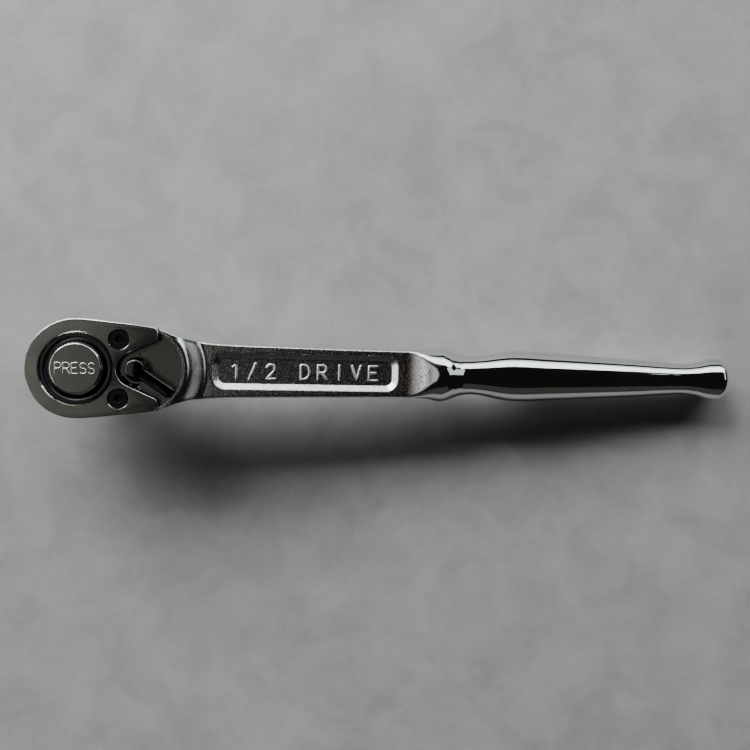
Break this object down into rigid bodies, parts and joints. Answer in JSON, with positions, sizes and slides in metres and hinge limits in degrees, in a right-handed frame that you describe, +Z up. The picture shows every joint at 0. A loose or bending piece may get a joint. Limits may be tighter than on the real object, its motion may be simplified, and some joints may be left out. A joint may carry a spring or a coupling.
{
  "type": "ratchet wrench",
  "caption": "Reversible ratchet wrench with a pear-shaped head, half-inch drive square, thumb lever, quick-release button and round turned handle.",
  "frame": {"origin": "centre of the drive square's tip face", "axes": "+X along the handle, +Z up the drive axis from the square's tip to the cover plate"},
  "size_m": [0.2487, 0.0336, 0.0404],
  "materials": {
    "polished_chrome": "mirror-polished chrome, satin on the flat faces of the shank",
    "satin_steel": "dark satin plating with polished edges",
    "black_steel": "blackened hardened steel",
    "black_chrome": "dark chrome, worn bright on its edges",
    "bright_steel": "bright ground steel"
  },
  "bodies": {
    "body": {"handle_body": "polished_chrome", "cover_plate": "satin_steel", "cover_screw_1": "black_steel", "cover_screw_2": "black_steel"},
    "drive": {"drive_gear": "black_steel", "button_spring": "bright_steel"},
    "release": {"push_button": "satin_steel", "release_rod": "bright_steel"},
    "ball": {"drive_ball": "bright_steel"},
    "lever": {"reverse_lever": "black_chrome", "detent_spring": "bright_steel"},
    "detent": {"detent_plunger": "bright_steel"},
    "pawl": {"pawl": "black_steel"}
  },
  "joints": [
    {"name": "ratchet_spin", "type": "hinge", "parent": "body", "child": "drive", "pos_m": [0, 0, 0.027], "axis": [0, 0, 1], "continuous": true},
    {"name": "press_button", "type": "slide", "parent": "drive", "child": "release", "axis": [0, 0, -1], "range_m": [0, 0.0025], "stiffness_N_per_m": 1500, "springref_m": -0.002, "deforming": ["button_spring"]},
    {"name": "ball_sink", "type": "slide", "parent": "drive", "child": "ball", "axis": [0, 1, 0], "range_m": [0, 0.001]},
    {"name": "lever_flip", "type": "hinge", "parent": "body", "child": "lever", "pos_m": [0.0197, 0, 0.027], "axis": [0, 0, 1], "range_deg": [0, 68]},
    {"name": "detent_press", "type": "slide", "parent": "lever", "child": "detent", "axis": [0.829, -0.5592, 0], "range_m": [0, 0.0006], "stiffness_N_per_m": 500, "springref_m": -0.001},
    {"name": "pawl_rock", "type": "hinge", "parent": "body", "child": "pawl", "pos_m": [0.015, 0, 0.027], "axis": [0, 0, 1], "range_deg": [-11, 0]}
  ],
  "couplings": [
    {"joint": "ball_sink", "follows": "press_button", "ratio": 0.4},
    {"joint": "pawl_rock", "follows": "lever_flip", "ratio": -0.16176}
  ]
}
